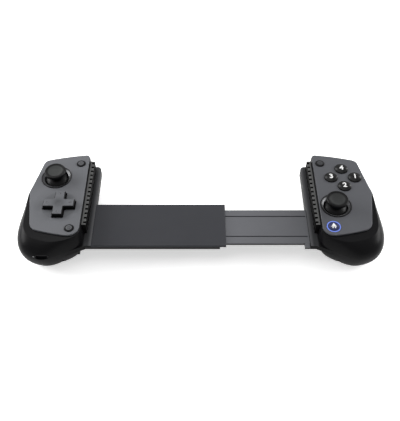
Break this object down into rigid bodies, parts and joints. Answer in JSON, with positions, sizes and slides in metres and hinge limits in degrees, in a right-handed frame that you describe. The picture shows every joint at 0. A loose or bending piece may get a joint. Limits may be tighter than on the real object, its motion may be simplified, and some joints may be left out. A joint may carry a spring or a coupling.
{
  "type": "mobile game controller",
  "caption": "Telescopic game controller that holds a phone sideways between two grips with sticks, buttons, bumpers and triggers.",
  "frame": {"origin": "middle of the whole controller's length and height on the plane that its backs lie on", "axes": "+X to the right along the bridge, +Y up the face towards the triggers, +Z out of the face"},
  "size_m": [0.2624, 0.0918, 0.0364],
  "materials": {
    "plate_grey": "satin",
    "case_black": "satin",
    "front_black": "gloss",
    "button_black": "gloss",
    "sleeve_grey": "satin",
    "slide_metal": "satin",
    "pad_rubber": "matte",
    "board": "satin",
    "steel": "satin",
    "cell": "satin",
    "light_blue": "gloss",
    "cable": "satin"
  },
  "bodies": {
    "left_half": {"left_face_plate": "plate_grey", "left_front_shell": "front_black", "left_rear_shell": "case_black", "left_phone_pad": "pad_rubber", "left_stick_ring": "front_black", "left_stick_frame": "steel", "left_main_board": "board", "left_button_board": "board", "left_trigger_pin": "steel", "left_trigger_spring": "steel", "left_screws": "steel", "dpad_mat": "pad_rubber", "battery": "cell", "charge_port": "steel", "charge_light": "light_blue", "sleeve_cover": "sleeve_grey", "sleeve_tray": "sleeve_grey", "sleeve_screws": "steel", "return_springs": "steel", "bridge_ribbon": "cable"},
    "right_half": {"right_face_plate": "plate_grey", "right_front_shell": "front_black", "right_rear_shell": "case_black", "right_phone_pad": "pad_rubber", "right_stick_ring": "front_black", "right_stick_frame": "steel", "right_main_board": "board", "right_button_board": "board", "right_trigger_pin": "steel", "right_trigger_spring": "steel", "right_screws": "steel", "face_button_mat": "pad_rubber", "home_light_ring": "light_blue", "slide_plate": "slide_metal", "slide_base": "case_black", "slide_screws": "steel"},
    "left_stick_cradle": {"left_stick_cradle": "case_black"},
    "left_stick_shaft": {"left_stick_shaft": "case_black"},
    "left_stick_cap": {"left_stick_cap": "pad_rubber"},
    "right_stick_cradle": {"right_stick_cradle": "case_black"},
    "right_stick_shaft": {"right_stick_shaft": "case_black"},
    "right_stick_cap": {"right_stick_cap": "pad_rubber"},
    "dpad_pivot": {"dpad_pivot": "case_black"},
    "dpad": {"dpad": "plate_grey"},
    "face_button_1": {"face_button_1": "button_black"},
    "face_button_2": {"face_button_2": "button_black"},
    "face_button_3": {"face_button_3": "button_black"},
    "face_button_4": {"face_button_4": "button_black"},
    "left_top_button": {"left_top_button": "button_black"},
    "left_bottom_button": {"left_bottom_button": "button_black"},
    "right_top_button": {"right_top_button": "button_black"},
    "home_button": {"home_button": "button_black"},
    "left_bumper": {"left_bumper": "front_black"},
    "left_trigger": {"left_trigger": "case_black"},
    "right_bumper": {"right_bumper": "front_black"},
    "right_trigger": {"right_trigger": "case_black"}
  },
  "joints": [
    {"name": "bridge_slide", "type": "slide", "parent": "left_half", "child": "right_half", "axis": [1, 0, 0], "range_m": [-0.059, 0.016], "deforming": ["return_springs", "bridge_ribbon"]},
    {"name": "left_stick_pitch", "type": "hinge", "parent": "left_half", "child": "left_stick_cradle", "pos_m": [-0.1083, 0.0222, 0.0204], "axis": [1, 0, 0], "range_deg": [-16, 16], "stiffness_Nm_per_rad": 0.04},
    {"name": "left_stick_roll", "type": "hinge", "parent": "left_stick_cradle", "child": "left_stick_shaft", "pos_m": [-0.1083, 0.0222, 0.0204], "axis": [0, 1, 0], "range_deg": [-16, 16], "stiffness_Nm_per_rad": 0.04},
    {"name": "left_stick_press", "type": "slide", "parent": "left_stick_shaft", "child": "left_stick_cap", "axis": [0, 0, -1], "range_m": [0, 0.0005], "stiffness_N_per_m": 5000},
    {"name": "right_stick_pitch", "type": "hinge", "parent": "right_half", "child": "right_stick_cradle", "pos_m": [0.0978, -0.0058, 0.0204], "axis": [1, 0, 0], "range_deg": [-16, 16], "stiffness_Nm_per_rad": 0.04},
    {"name": "right_stick_roll", "type": "hinge", "parent": "right_stick_cradle", "child": "right_stick_shaft", "pos_m": [0.0978, -0.0058, 0.0204], "axis": [0, 1, 0], "range_deg": [-16, 16], "stiffness_Nm_per_rad": 0.04},
    {"name": "right_stick_press", "type": "slide", "parent": "right_stick_shaft", "child": "right_stick_cap", "axis": [0, 0, -1], "range_m": [0, 0.0005], "stiffness_N_per_m": 5000},
    {"name": "dpad_pitch", "type": "hinge", "parent": "left_half", "child": "dpad_pivot", "pos_m": [-0.1025, -0.0055, 0.0234], "axis": [1, 0, 0], "range_deg": [-5, 5], "stiffness_Nm_per_rad": 0.16},
    {"name": "dpad_roll", "type": "hinge", "parent": "dpad_pivot", "child": "dpad", "pos_m": [-0.1025, -0.0055, 0.0234], "axis": [0, 1, 0], "range_deg": [-5, 5], "stiffness_Nm_per_rad": 0.16},
    {"name": "face_button_1_press", "type": "slide", "parent": "right_half", "child": "face_button_1", "axis": [0, 0, -1], "range_m": [0, 0.0012], "stiffness_N_per_m": 900},
    {"name": "face_button_2_press", "type": "slide", "parent": "right_half", "child": "face_button_2", "axis": [0, 0, -1], "range_m": [0, 0.0012], "stiffness_N_per_m": 900},
    {"name": "face_button_3_press", "type": "slide", "parent": "right_half", "child": "face_button_3", "axis": [0, 0, -1], "range_m": [0, 0.0012], "stiffness_N_per_m": 900},
    {"name": "face_button_4_press", "type": "slide", "parent": "right_half", "child": "face_button_4", "axis": [0, 0, -1], "range_m": [0, 0.0012], "stiffness_N_per_m": 900},
    {"name": "left_top_button_press", "type": "slide", "parent": "left_half", "child": "left_top_button", "axis": [0, 0, -1], "range_m": [0, 0.0006], "stiffness_N_per_m": 2500},
    {"name": "left_bottom_button_press", "type": "slide", "parent": "left_half", "child": "left_bottom_button", "axis": [0, 0, -1], "range_m": [0, 0.0006], "stiffness_N_per_m": 2500},
    {"name": "right_top_button_press", "type": "slide", "parent": "right_half", "child": "right_top_button", "axis": [0, 0, -1], "range_m": [0, 0.0006], "stiffness_N_per_m": 2500},
    {"name": "home_button_press", "type": "slide", "parent": "right_half", "child": "home_button", "axis": [0, 0, -1], "range_m": [0, 0.0006], "stiffness_N_per_m": 2500},
    {"name": "left_bumper_press", "type": "hinge", "parent": "left_half", "child": "left_bumper", "pos_m": [-0.0998, 0.0398, 0.022], "axis": [0, 0, 1], "range_deg": [0, 2], "stiffness_Nm_per_rad": 0.8},
    {"name": "left_trigger_pull", "type": "hinge", "parent": "left_half", "child": "left_trigger", "pos_m": [-0.1085, 0.0369, 0.0138], "axis": [-1, 0, 0], "range_deg": [0, 14], "stiffness_Nm_per_rad": 0.06, "springref_deg": -5.73},
    {"name": "right_bumper_press", "type": "hinge", "parent": "right_half", "child": "right_bumper", "pos_m": [0.0998, 0.0398, 0.022], "axis": [0, 0, -1], "range_deg": [0, 2], "stiffness_Nm_per_rad": 0.8},
    {"name": "right_trigger_pull", "type": "hinge", "parent": "right_half", "child": "right_trigger", "pos_m": [0.1085, 0.0369, 0.0138], "axis": [-1, 0, 0], "range_deg": [0, 14], "stiffness_Nm_per_rad": 0.06, "springref_deg": -5.73}
  ]
}
